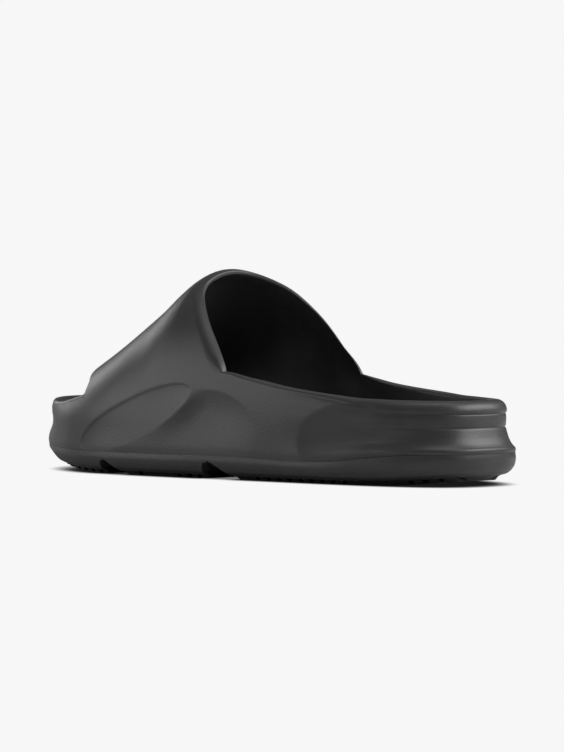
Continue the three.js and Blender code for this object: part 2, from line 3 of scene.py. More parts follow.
import bmesh
import bpy
import numpy as np
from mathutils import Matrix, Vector


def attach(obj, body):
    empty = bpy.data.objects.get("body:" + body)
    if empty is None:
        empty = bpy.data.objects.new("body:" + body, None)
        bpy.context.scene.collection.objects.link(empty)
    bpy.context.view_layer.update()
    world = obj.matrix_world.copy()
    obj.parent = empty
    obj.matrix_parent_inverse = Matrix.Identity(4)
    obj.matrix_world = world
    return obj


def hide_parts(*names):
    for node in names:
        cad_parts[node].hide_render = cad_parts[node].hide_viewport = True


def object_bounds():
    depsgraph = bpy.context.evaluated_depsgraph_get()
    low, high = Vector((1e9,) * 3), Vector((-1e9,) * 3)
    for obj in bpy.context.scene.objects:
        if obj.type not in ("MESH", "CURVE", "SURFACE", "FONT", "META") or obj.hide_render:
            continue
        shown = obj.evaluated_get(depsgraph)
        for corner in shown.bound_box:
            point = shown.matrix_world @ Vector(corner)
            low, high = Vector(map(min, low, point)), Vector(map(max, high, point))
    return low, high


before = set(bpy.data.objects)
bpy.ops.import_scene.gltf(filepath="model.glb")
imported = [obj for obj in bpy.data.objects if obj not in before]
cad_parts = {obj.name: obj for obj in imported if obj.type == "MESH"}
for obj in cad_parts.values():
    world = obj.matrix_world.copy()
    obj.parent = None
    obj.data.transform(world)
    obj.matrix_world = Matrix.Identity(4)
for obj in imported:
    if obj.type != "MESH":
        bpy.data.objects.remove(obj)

cad_low, cad_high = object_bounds()
scene = bpy.context.scene
scene.view_settings.view_transform = "Standard"


# The photographer's camera stands low behind the heel, on the outer side of the shoe,
# far enough away for a long lens, and looks along the shoe towards the toe.
CAMERA_AZIMUTH = math.radians(225)
CAMERA_ELEVATION = math.radians(1.65)
CAMERA_DISTANCE = 1.9
CAMERA_LENS = 190.2
aim = Vector((-0.0080, 0.0012, 0.0477))
towards_camera = Vector(
    (
        math.sin(CAMERA_AZIMUTH) * math.cos(CAMERA_ELEVATION),
        -math.cos(CAMERA_AZIMUTH) * math.cos(CAMERA_ELEVATION),
        math.sin(CAMERA_ELEVATION),
    )
)
camera_data = bpy.data.cameras.new("studio_camera")
camera_data.lens = CAMERA_LENS
camera_data.sensor_width = 36
camera_data.clip_end = 50
camera = bpy.data.objects.new("studio_camera", camera_data)
camera.location = aim + towards_camera * CAMERA_DISTANCE
camera.rotation_euler = (-towards_camera).to_track_quat("-Z", "Y").to_euler()
scene.collection.objects.link(camera)
scene.camera = camera


# The studio: a pale seamless floor in a dark room. A wide softbox on the right gives the heel its
# bright patches, a low one on the left the even side, a small one behind it the rim of the toe, and
# a weak one overhead the top of the band. A painted shadow darkens the floor's glow where the sole is
# close.
PAPER_WHITE = 0.931
PAPER_BOUNCE = 0.62
SHADOW_REACH = 0.01
SHADOW_DARKEST = 0.1
SHADOW_LIGHTEST = 0.85
SHADOW_TONE = 0.01
ROOM_LIGHT = 0.01
LAMP_DISTANCE = 1.35
LAMP_AIM_HEIGHT = 0.04
straight_up = Vector((0, 0, 1))
away = Vector((-math.sin(CAMERA_AZIMUTH), math.cos(CAMERA_AZIMUTH), 0))
image_right = away.cross(straight_up)


def softbox(name, turn, rise, watts, width, tall):
    """A rectangular lamp: degrees round from the camera to the right, degrees up, power and size."""
    turn = math.radians(turn)
    rise = math.radians(rise)
    lamp = bpy.data.lights.new(name, "AREA")
    lamp.shape = "RECTANGLE"
    lamp.size = width
    lamp.size_y = tall
    lamp.energy = watts
    held = bpy.data.objects.new(name, lamp)
    level = image_right * math.sin(turn) - away * math.cos(turn)
    way = level * math.cos(rise) + straight_up * math.sin(rise)
    held.location = straight_up * LAMP_AIM_HEIGHT + way * LAMP_DISTANCE
    held.rotation_euler = way.to_track_quat("Z", "Y").to_euler()
    scene.collection.objects.link(held)
    held.visible_camera = False


softbox("left_softbox", -88, 10, 4.8, 0.6, 0.8)
softbox("back_left_softbox", -138, 16, 3.2, 0.5, 0.6)
softbox("top_softbox", 0, 80, 3.0, 0.8, 0.8)
softbox("right_softbox", 72, 36, 21.5, 1.6, 0.8)

surround = bpy.data.worlds.new("white_surround")
surround.use_nodes = True
scene.world = surround
links = surround.node_tree.links
nodes = surround.node_tree.nodes
nodes.clear()
seen_directly = nodes.new("ShaderNodeLightPath")
backdrop = nodes.new("ShaderNodeBackground")
backdrop.inputs["Color"].default_value = (PAPER_WHITE, PAPER_WHITE, PAPER_WHITE, 1)
room = nodes.new("ShaderNodeBackground")
room.inputs["Color"].default_value = (ROOM_LIGHT, ROOM_LIGHT, ROOM_LIGHT, 1)
either = nodes.new("ShaderNodeMixShader")
world_out = nodes.new("ShaderNodeOutputWorld")
links.new(seen_directly.outputs["Is Camera Ray"], either.inputs["Fac"])
links.new(room.outputs["Background"], either.inputs[1])
links.new(backdrop.outputs["Background"], either.inputs[2])
links.new(either.outputs["Shader"], world_out.inputs["Surface"])

FLOOR_HALF = 12.0
floor_mesh = bpy.data.meshes.new("studio_floor")
corners = [(-1, -1), (1, -1), (1, 1), (-1, 1)]
floor_mesh.from_pydata([(x * FLOOR_HALF, y * FLOOR_HALF, 0) for x, y in corners], [], [(0, 1, 2, 3)])
floor = bpy.data.objects.new("studio_floor", floor_mesh)
scene.collection.objects.link(floor)
paper = bpy.data.materials.new("white_paper")
paper.use_nodes = True
nodes = paper.node_tree.nodes
links = paper.node_tree.links
nodes.clear()
lit = nodes.new("ShaderNodeBsdfDiffuse")
lit.inputs["Color"].default_value = (PAPER_BOUNCE, PAPER_BOUNCE, PAPER_BOUNCE, 1)
# Painted contact shadow: the floor's glow seen by the camera dims where the sole is near, whatever
# the lamps do.
nearness = nodes.new("ShaderNodeAmbientOcclusion")
nearness.samples = 24
nearness.inputs["Distance"].default_value = SHADOW_REACH
fade = nodes.new("ShaderNodeMapRange")
fade.interpolation_type = "SMOOTHSTEP"
fade.inputs["From Min"].default_value = SHADOW_DARKEST
fade.inputs["From Max"].default_value = SHADOW_LIGHTEST
fade.inputs["To Min"].default_value = SHADOW_TONE
fade.inputs["To Max"].default_value = PAPER_WHITE
glow = nodes.new("ShaderNodeEmission")
glow.inputs["Color"].default_value = (1, 1, 1, 1)
either = nodes.new("ShaderNodeMixShader")
seen_directly = nodes.new("ShaderNodeLightPath")
paper_out = nodes.new("ShaderNodeOutputMaterial")
links.new(nearness.outputs["AO"], fade.inputs["Value"])
links.new(fade.outputs["Result"], glow.inputs["Strength"])
links.new(seen_directly.outputs["Is Camera Ray"], either.inputs["Fac"])
links.new(lit.outputs["BSDF"], either.inputs[1])
links.new(glow.outputs["Emission"], either.inputs[2])
links.new(either.outputs["Shader"], paper_out.inputs["Surface"])
floor_mesh.materials.append(paper)


# The upper: one moulded shell of closed-cell foam, the side wall all round and the broad band
# over the foot in one skin. It is shaped in the mould, with rolled ribs round the heel and three
# shallow leaf-shaped hollows on each side, and it is bonded to the sole along the parting line.
MM = 0.001
LENGTH = (cad_high.x - cad_low.x) / MM
BALL_WIDTH = 110
BAND_HEIGHT = cad_high.z / MM
HEEL_ROUND = 75
HEEL_POWER = 2.6
TOE_ROUND = 78
TOE_POWER = 2.25
SPRING_HEIGHT = 24
ARCH_POWER = 2.1
BAND_WALL = 5.6
BAND_SIDE_WALL = 5.2
COLLAR_WALL = 2.8
INNER_LEAN = 0.06
COLLAR_EDGE_ROUND = 0.8
COLLAR_ROLL = 13
COLLAR_ROLL_TURN = math.radians(30)
CORNER_THINNING = {"outer": 2.8, "inner": 5.0}
CORNER_REACH = 16
CORNER_DEPTH = 14
TOE_EDGE_ROUND = 2.2
INNER_EDGE_ROUND = 1.1
COLLAR_CORNER = {"outer": 0.458, "inner": 0.413}
COLLAR_RIDGE = 0.581
TOE_CORNER = 0.774
TOE_RIDGE = 0.835


def curve(at, values):
    """A smooth curve through points that never overshoots between them."""
    step = np.diff(at)
    slope = np.diff(values) / step
    tangent = np.concatenate([slope[:1], np.zeros(len(slope) - 1), slope[-1:]])
    product = slope[:-1] * slope[1:]
    total = np.where(product > 0, slope[:-1] + slope[1:], 1)
    tangent[1:-1] = np.where(product > 0, 2 * product / total, 0)

    def value(where):
        x = np.clip(where, at[0], at[-1])
        i = np.clip(np.searchsorted(at, x, side="right") - 1, 0, len(step) - 1)
        t = (x - at[i]) / step[i]
        rise = values[i + 1] - values[i]
        start = tangent[i] * step[i]
        end = tangent[i + 1] * step[i]
        bend = 3 * rise - 2 * start - end
        return values[i] + start * t + bend * t**2 + (start + end - 2 * rise) * t**3

    return value


def curves(rows):
    """One curve for each column after the first, which says where along the curve a row is."""
    table = np.array(rows, float)
    return [curve(table[:, 0], table[:, column]) for column in range(1, table.shape[1])]


def mix(low, high, share):
    return low + (high - low) * share


def smooth(low, high, value):
    share = np.clip((value - low) / (high - low), 0, 1)
    return share * share * (3 - 2 * share)


# Half widths and centre line as shares of the ball width, by share of the length
outer_half, inner_half, centre_share = curves(
    [
        (0.0, 0.345, 0.355, 0.0),
        (0.14, 0.352, 0.359, 0.0),
        (0.25, 0.378, 0.364, 0.0),
        (0.35, 0.403, 0.359, 0.0),
        (0.45, 0.429, 0.364, 0.0),
        (0.55, 0.455, 0.395, -0.001),
        (0.65, 0.477, 0.441, -0.005),
        (0.72, 0.486, 0.473, -0.009),
        (0.8, 0.477, 0.491, -0.018),
        (0.9, 0.455, 0.482, -0.04),
        (1.0, 0.436, 0.455, -0.064),
    ]
)
# Where each section meets the line down the middle of the shoe
(spine_share,) = curves(
    [
        (0.0, 0.165),
        (0.12, 0.205),
        (0.24, 0.265),
        (0.36, 0.36),
        (0.5, 0.5),
        (0.7, 0.7),
        (0.84, 0.836),
        (0.92, 0.888),
        (1.0, 0.925),
    ]
)
# Heights in mm by share of the length: the joint with the sole, the top of the rim,
# the rounding of the rim, the wall at the rim and the top of the footbed
joint_at, rim_at, round_at, wall_at, bed_at = curves(
    [
        (0.0, 15.2, 39.2, 5.2, 10.2, 28.3),
        (0.08, 14.6, 39.3, 4.9, 9.8, 27.6),
        (0.17, 12.4, 39.8, 3.4, 8.4, 26.8),
        (0.225, 10.8, 41.0, 2.0, 8.0, 26.9),
        (0.29, 10.2, 42.7, 1.0, 7.9, 27.3),
        (0.34, 10.5, 44.5, 0.9, 7.8, 27.5),
        (0.375, 10.8, 46.3, 0.9, 7.8, 27.5),
        (0.41, 11.0, 48.2, 0.9, 7.0, 27.3),
        (0.45, 11.2, 50.6, 0.9, 6.4, 26.9),
        (0.49, 11.3, 51.2, 0.9, 6.2, 26.2),
        (0.6, 11.0, 47.6, 1.0, 6.2, 24.0),
        (0.7, 11.0, 42.6, 1.2, 6.4, 22.2),
        (0.78, 11.1, 37.8, 1.4, 7.0, 21.4),
        (0.86, 11.6, 34.2, 2.0, 8.2, 21.6),
        (1.0, 13.2, 35.0, 2.6, 8.8, 23.8),
    ]
)
# Height of the band over its ridge as a share of its greatest height
(ridge_share,) = curves(
    [
        (0.0, 1.0),
        (0.589, 1.0),
        (0.603, 0.987),
        (0.621, 0.954),
        (0.655, 0.872),
        (0.69, 0.797),
        (0.724, 0.727),
        (0.759, 0.662),
        (0.793, 0.605),
        (0.828, 0.548),
        (0.852, 0.512),
        (0.9, 0.46),
        (1.0, 0.41),
    ]
)
# How far the edges of the band have leaned forward at each share of their height
outer_lean, inner_lean, toe_lean = curves(
    [
        (0.0, 0.0, 0.0, 0.0),
        (0.13, 0.13, 0.08, 0.01),
        (0.25, 0.26, 0.17, 0.04),
        (0.5, 0.56, 0.35, 0.34),
        (0.65, 0.75, 0.49, 0.48),
        (0.8, 0.93, 0.65, 0.67),
        (0.9, 0.995, 0.81, 0.83),
        (1.0, 1.0, 1.0, 1.0),
    ]
)
# How far the wall stands in from the widest outline in mm, by share of the height from
# the joint to the rim: along the sides, round the heel with its ribs, and at the toe
side_relief, rib_relief, toe_relief = curves(
    [
        (0.0, 0.2, 0.0, 0.3),
        (0.108, 0.0, 0.0, 0.0),
        (0.175, 0.0, 0.5, 0.2),
        (0.247, 0.0, 1.3, 0.5),
        (0.32, 0.0, 1.9, 1.0),
        (0.4, 0.0, 2.0, 1.7),
        (0.5, 0.0, 1.5, 2.3),
        (0.6, 0.0, 0.75, 2.6),
        (0.68, 0.0, 0.5, 2.5),
        (0.8, 0.0, 0.5, 2.0),
        (0.92, 0.0, 0.8, 1.9),
        (0.95, 0.0, 0.75, 1.95),
        (1.0, 0.0, 0.0, 2.4),
    ]
)
# The same for the back of the heel, with its two creases
(heel_relief,) = curves(
    [
        (0.0, 0.3),
        (0.06, 0.1),
        (0.11, 0.3),
        (0.16, 1.2),
        (0.234, 2.3),
        (0.364, 3.5),
        (0.495, 4.3),
        (0.58, 4.8),
        (0.615, 5.25),
        (0.65, 4.85),
        (0.8, 4.65),
        (0.92, 4.8),
        (0.945, 5.05),
        (0.965, 4.7),
        (1.0, 4.3),
    ]
)


def joint_height(x):
    return joint_at(x / LENGTH)


def rim_base(x):
    return rim_at(x / LENGTH) - round_at(x / LENGTH)


def ridge_height(x):
    return BAND_HEIGHT * ridge_share(x / LENGTH)


def closing(x):
    """How the half width closes towards the heel and the toe."""
    behind = np.maximum(0, 1 - x / HEEL_ROUND)
    ahead = np.maximum(0, 1 - (LENGTH - x) / TOE_ROUND)
    heel = np.maximum(0, 1 - behind**HEEL_POWER) ** (1 / HEEL_POWER)
    return heel * np.maximum(0, 1 - ahead**TOE_POWER) ** (1 / TOE_POWER)


class Section:
    """Slices across the shoe: where each meets the outline and the middle line, and the way in."""

    def __init__(self, side, x):
        self.side = side
        self.x = x
        half = BALL_WIDTH * (outer_half if side == "outer" else inner_half)(x / LENGTH) * closing(x)
        self.edge_y = BALL_WIDTH * centre_share(x / LENGTH) + (half if side == "outer" else -half)
        self.spine_x = LENGTH * spine_share(x / LENGTH)
        spine_y = BALL_WIDTH * centre_share(self.spine_x / LENGTH)
        across = np.stack([self.spine_x - x, spine_y - self.edge_y])
        self.reach = np.hypot(*across)
        self.inward = across / self.reach

    def place(self, inset, z):
        x = self.x + self.inward[0] * inset
        y = self.edge_y + self.inward[1] * inset
        return np.stack(np.broadcast_arrays(x, y, z), -1)


# The leaf-shaped hollows of each side. The front leaf leans back; its lower edge is a crest with a
# dip behind it that fades towards the middle leaf's far edge. The rear one opens into the heel.
FRONT_LEAN = math.radians(158.5)
FRONT_LEAF = {"at": 187.3, "up": 27.8, "long": 39.5, "short": 10.9, "lean": FRONT_LEAN, "depth": 0.65}
MIDDLE_LEAF = {"at": 141, "up": 22.5, "long": 31.5, "short": 20, "lean": 0, "depth": 2.3}
REAR_LEAF = {"at": 58, "up": 19, "long": 27, "short": 18, "lean": 0, "depth": 1.7}
LEAF_EDGE = 0.14
LEAF_SKEW = 0.7
DIP_WIDTH = 17
DIP_FOOT = 8
DIP_TOP = 40


def within(leaf, x, z):
    """A place on the side, measured along and across a leaf in its half sizes."""
    dx = x - leaf["at"]
    dz = z - leaf["up"]
    along = (dx * math.cos(leaf["lean"]) + dz * math.sin(leaf["lean"])) / leaf["long"]
    across = (dx * math.sin(leaf["lean"]) - dz * math.cos(leaf["lean"])) / leaf["short"]
    return along, across, np.hypot(along, across)


def ease_in(share):
    """Starts steeply and levels out."""
    return 1 - (1 - np.clip(share, 0, 1)) ** 2


def front_hollow(x, z):
    along, across, far = within(FRONT_LEAF, x, z)
    half = np.sqrt(np.maximum(1e-6, 1 - along**2))
    share = np.clip((half - across) / (2 * half), 0, 1)
    depth = FRONT_LEAF["depth"] * np.sqrt(half) * np.sin(math.pi * share**LEAF_SKEW)
    return np.where(far < 1, depth * smooth(0, LEAF_EDGE, share), 0)


def middle_hollow(x, z):
    far = within(MIDDLE_LEAF, x, z)[2]
    crest = within(FRONT_LEAF, x, z)[2]
    beyond = np.hypot(x - FRONT_LEAF["at"], z - FRONT_LEAF["up"]) * (1 - 1 / np.maximum(crest, 1))
    depth = MIDDLE_LEAF["depth"] * (1 - far**2) * ease_in(beyond / DIP_WIDTH)
    depth = depth * smooth(DIP_FOOT, DIP_TOP, z)
    return np.where((far < 1) & (x < FRONT_LEAF["at"]), depth, 0)


def rear_hollow(x, z):
    across = within(REAR_LEAF, x, z)[1]
    half = np.sqrt(np.maximum(0, 1 - across**2))
    beyond = REAR_LEAF["at"] + REAR_LEAF["long"] * half - x
    return REAR_LEAF["depth"] * half**0.8 * ease_in(beyond / REAR_LEAF["long"])


def hollows(x, z):
    return front_hollow(x, z) + middle_hollow(x, z) + rear_hollow(x, z)


# Where each form comes in and where it is whole, in mm from the heel
HEEL_WALL = (45, 6)
HEEL_RIBS = (105, 40)
TOE_WALL = (251, 274)
ARCH_ENDS = (228, 266)


def heel_weight(x):
    return smooth(*HEEL_WALL, x)


def rib_weight(x):
    return smooth(*HEEL_RIBS, x) * (1 - heel_weight(x))


def toe_weight(x):
    return smooth(*TOE_WALL, x)


def arch_curl(x, z, ridge):
    """Share of the way to the middle line that the arch has closed at a height."""
    up = np.clip((z - SPRING_HEIGHT) / (ridge - SPRING_HEIGHT), 0, 1)
    share = 1 - (1 - up**ARCH_POWER) ** (1 / ARCH_POWER)
    return share * (1 - heel_weight(x)) * (1 - smooth(*ARCH_ENDS, x))


def outer_wall(where, z):
    """The outer skin between the joint and the rim."""
    up = (z - joint_height(where.x)) / (rim_base(where.x) - joint_height(where.x))
    heel = heel_weight(where.x)
    toe = toe_weight(where.x)
    side = side_relief(up) + hollows(where.x, z)
    stand = (1 - heel - toe) * side + heel * heel_relief(up) + toe * toe_relief(up)
    stand = stand + rib_weight(where.x) * rib_relief(up)
    curl = arch_curl(where.x, z, ridge_height(where.spine_x))
    return where.place(mix(stand, where.reach, curl), z)


def rim_wall(where, height_share=1):
    """The wall at the rim, thinner at the lower corners of the collar."""
    aside = (where.x - LENGTH * COLLAR_CORNER[where.side]) / CORNER_REACH
    thinning = CORNER_THINNING[where.side] * np.exp(-(aside**2)) * height_share
    return wall_at(where.x / LENGTH) - thinning


def inner_inset(where, z):
    """How far in the inner skin stands, a wall's width inside the outer one."""
    below = rim_base(where.x) - z
    wall = rim_wall(where, smooth(CORNER_DEPTH, 0, below)) + INNER_LEAN * below
    return mix(wall, where.reach, arch_curl(where.x, z, ridge_height(where.spine_x) - BAND_WALL))


REAR_STEPS = 150
BAND_STEPS = 110
TOE_STEPS = 70
WALL_ROWS = 64
ARCH_ROWS = 44


def stations(side):
    """Places of the slices along one side: heel, collar corner, toe corner, toe."""
    turn = [math.acos(1 - 2 * share) for share in (0, COLLAR_CORNER[side], TOE_CORNER, 1)]
    counts = [REAR_STEPS, BAND_STEPS, TOE_STEPS]
    legs = [np.linspace(turn[i], turn[i + 1], counts[i], endpoint=False) for i in range(3)]
    return LENGTH * (1 - np.cos(np.concatenate([*legs, [math.pi]]))) / 2


side_stations = {"outer": stations("outer"), "inner": stations("inner")}
HALF = len(side_stations["outer"]) - 1
AROUND = 2 * HALF


def around(make):
    """Joins what is made for the outer and the inner side into one ring round the shoe."""
    outer = make(Section("outer", side_stations["outer"]))
    inner = make(Section("inner", side_stations["inner"]))
    return np.concatenate([outer, inner[..., -2:0:-1, :]], axis=-2)


class Skin:
    """A mesh built from grids of points, whose shared borders are merged at the end."""

    def __init__(self):
        self.points = []
        self.faces = []
        self.count = 0

    def grid(self, rows, closed=False):
        rows = np.asarray(rows, float)
        high, wide = rows.shape[:2]
        self.points.append(rows.reshape(-1, 3))
        columns = wide if closed else wide - 1
        r, c = np.meshgrid(np.arange(high - 1), np.arange(columns), indexing="ij")
        after = (c + 1) % wide
        row = r * wide
        quads = np.stack([row + c, row + wide + c, row + wide + after, row + after], -1)
        self.faces.append(quads.reshape(-1, 4) + self.count)
        self.count += high * wide

    def cap(self, ring, steps):
        """Closes a ring with strips that run from the outer side to the inner one."""
        outer = ring[: HALF + 1]
        inner = np.concatenate([ring[:1], ring[:HALF - 1:-1]])
        share = np.linspace(0, 1, steps + 1)[:, None, None]
        self.grid(mix(outer[None], inner[None], share))

    def mesh(self, name, sharp):
        made = bpy.data.meshes.new(name)
        points = (np.concatenate(self.points) + shoe_origin) * MM
        made.from_pydata(points.tolist(), [], np.concatenate(self.faces).tolist())
        form = bmesh.new()
        form.from_mesh(made)
        bmesh.ops.remove_doubles(form, verts=form.verts, dist=2e-6)
        bmesh.ops.dissolve_degenerate(form, edges=form.edges, dist=1e-7)
        bmesh.ops.recalc_face_normals(form, faces=form.faces)
        form.to_mesh(made)
        form.free()
        made.shade_smooth()
        made.set_sharp_from_angle(angle=math.radians(sharp))
        return made


# The CAD's origin is the middle of the shoe's plan, on the floor; the slices count from the heel
widest = around(lambda where: where.place(0.0, 0.0))
shoe_origin = -(widest.max(0) + widest.min(0)) / 2
shoe_origin[2] = 0


def length_of(vectors):
    return np.linalg.norm(vectors, axis=-1, keepdims=True)


def unit(vectors):
    return vectors / length_of(vectors)


# Share of the band over which its wall thickens from the collar, and from the rim upwards, and
# the share of the height where the roll of the collar edge starts to flatten
THICKENS_OVER = 0.6
RIM_BLENDS_OVER = 0.3
ROLL_FLATTENS_FROM = 0.7
ROLL_FLATTENS_BY = 0.6


def towards_collar(wall, along):
    """A wall of the band, which thins towards its collar edge."""
    return mix(COLLAR_WALL, wall, smooth(0, THICKENS_OVER, along))


def band_rows(side, rim_row, inside):
    """One skin of one side of the band, from the rim up to the row below the ridge."""
    share = np.arange(1, ARCH_ROWS)[:, None] / ARCH_ROWS
    along = np.arange(BAND_STEPS + 1)[None] / BAND_STEPS
    drop = towards_collar(BAND_WALL, along) if inside else 0
    up = np.sin(share * math.pi / 2)
    lean = mix((outer_lean if side == "outer" else inner_lean)(up), toe_lean(up), along)
    foot = Section(side, side_stations[side][REAR_STEPS : REAR_STEPS + BAND_STEPS + 1][None])
    where = Section(side, mix(foot.x, LENGTH * mix(COLLAR_RIDGE, TOE_RIDGE, along), lean))
    foot_ridge = ridge_height(foot.spine_x) - (BAND_WALL if inside else 0)
    start = (rim_base(foot.x) - SPRING_HEIGHT) / (foot_ridge - SPRING_HEIGHT)
    turn = mix(np.arcsin(start ** (ARCH_POWER / 2)), math.pi / 2, share)
    z = mix(SPRING_HEIGHT, ridge_height(where.spine_x) - drop, np.sin(turn) ** (2 / ARCH_POWER))
    if inside:
        side_wall = towards_collar(BAND_SIDE_WALL, along)
        stand = mix(rim_wall(where), side_wall, smooth(0, RIM_BLENDS_OVER, share))
    else:
        stand = hollows(where.x, z)
    skin = where.place(mix(stand, where.reach, 1 - np.cos(turn) ** (2 / ARCH_POWER)), z)
    return np.concatenate([rim_row[None], skin])


def band_skin(rim_rows, inside):
    """One skin of the whole band, over the ridge from the outer rim to the inner rim."""
    along = np.arange(BAND_STEPS + 1) / BAND_STEPS
    drop = towards_collar(BAND_WALL, along) if inside else 0
    x = LENGTH * spine_share(mix(COLLAR_RIDGE, TOE_RIDGE, along))
    ridge = np.stack([x, BALL_WIDTH * centre_share(x / LENGTH), ridge_height(x) - drop], -1)
    outer = band_rows("outer", rim_rows["outer"], inside)
    inner = band_rows("inner", rim_rows["inner"], inside)
    return np.concatenate([outer, ridge[None], inner[::-1]])


def rolled(skin):
    """The outer skin of the band, rolled in a little towards its collar edge."""
    outward = unit(np.cross(np.gradient(skin, axis=1), np.gradient(skin, axis=0)))
    outward *= np.sign(outward[ARCH_ROWS, :1, 2:])
    ahead = np.cumsum(length_of(np.diff(skin, axis=1, prepend=skin[:, :1])), axis=1)
    width = COLLAR_ROLL * math.sin(COLLAR_ROLL_TURN)
    left = np.clip(width - ahead, 0, width)
    above = np.minimum(skin[..., 2:] - skin[:1, :, 2:], skin[..., 2:] - skin[-1:, :, 2:])
    depth = (COLLAR_ROLL - np.sqrt(COLLAR_ROLL**2 - left**2)) * smooth(0, COLLAR_ROLL, above)
    depth *= 1 - ROLL_FLATTENS_BY * smooth(ROLL_FLATTENS_FROM, 1, skin[..., 2:] / BAND_HEIGHT)
    return skin - outward * depth


EDGE_STEPS = 8


def edge_loop(outside, inside, lip):
    """The rounded edge that joins the outer skin to the inner one round an opening."""
    wall = inside - outside
    thick = length_of(wall)
    across = wall / thick
    rise = length_of(lip)
    in_round = np.minimum(np.minimum(INNER_EDGE_ROUND, rise * 0.7), thick * 0.4)
    out_round = np.minimum(rise, thick - in_round)
    rows = [outside]
    for step in range(1, EDGE_STEPS + 1):
        turn = math.pi / 2 * step / EDGE_STEPS
        rows.append(outside + across * out_round * (1 - math.cos(turn)) + lip * math.sin(turn))
    for step in range(EDGE_STEPS // 2 + 1):
        turn = math.pi / 2 * step / (EDGE_STEPS // 2)
        along = thick - in_round * (1 - math.sin(turn))
        up = 1 - in_round / rise * (1 - math.cos(turn))
        rows.append(outside + across * along + lip * up)
    rows.append(inside)
    return rows


def edge_way(skin, end, before):
    """Which way the edge of the band rounds over, for each row of its end column."""
    column = skin[:, end]
    along = unit(np.gradient(column, axis=0))
    away_from = column - skin[:, before]
    return unit(away_from - along * (away_from * along).sum(-1, keepdims=True))


def build_upper():
    """The whole shell: its two walls, the band's two skins and the edges of both openings."""
    share = np.linspace(0, 1, WALL_ROWS + 1)[:, None]
    outer_rows = around(lambda w: outer_wall(w, mix(joint_height(w.x), rim_base(w.x), share)))
    inner_share = np.linspace(0, 1, 7)[:, None]

    def inner_wall(where):
        z = mix(joint_height(where.x), rim_base(where.x), inner_share)
        return where.place(inner_inset(where, z), z)

    inner_rows = around(inner_wall)
    first = REAR_STEPS
    last = REAR_STEPS + BAND_STEPS
    outer_part = np.arange(first, last + 1)
    inner_part = AROUND - outer_part
    outer_rim = {"outer": outer_rows[-1][outer_part], "inner": outer_rows[-1][inner_part]}
    inner_rim = {"outer": inner_rows[-1][outer_part], "inner": inner_rows[-1][inner_part]}
    over = rolled(band_skin(outer_rim, False))
    under = band_skin(inner_rim, True)
    skin = Skin()
    skin.grid(outer_rows, closed=True)
    skin.grid(inner_rows, closed=True)
    skin.grid(np.stack([outer_rows[0], inner_rows[0]]), closed=True)
    skin.grid(over)
    skin.grid(under)

    rounding = around(lambda w: np.stack([w.x * 0, w.x * 0, round_at(w.x / LENGTH)], -1))

    def opening(rim, end, before, radius, forward, down_the_inner_side):
        """The rounded edge of one opening: its stretch of rim and then the edge of the band."""
        way = edge_way(over, end, before)
        rows = slice(1, -1)
        if down_the_inner_side:
            rows = slice(-2, 0, -1)
        lips = rounding[rim].copy()
        ends = (way[0], way[-1]) if down_the_inner_side else (way[-1], way[0])
        for k, turn in zip((0, -1), ends):
            slide = (radius - lips[k, 2] * turn[2]) / (forward * turn[0])
            lips[k] = (forward * slide, 0, lips[k, 2])
        outside = np.concatenate([outer_rows[-1][rim], over[rows, end]])
        inside = np.concatenate([inner_rows[-1][rim], under[rows, end]])
        lip = np.concatenate([lips, way[rows] * radius])
        skin.grid(np.stack(edge_loop(outside, inside, lip)), closed=True)

    collar_rim = np.concatenate([np.arange(AROUND - first, AROUND), np.arange(0, first + 1)])
    opening(collar_rim, 0, 1, COLLAR_EDGE_ROUND, -1, False)
    toe_rim = np.arange(last, AROUND - last + 1)
    opening(toe_rim, BAND_STEPS, BAND_STEPS - 1, TOE_EDGE_ROUND, 1, True)
    return skin.mesh("slide_upper", 40)


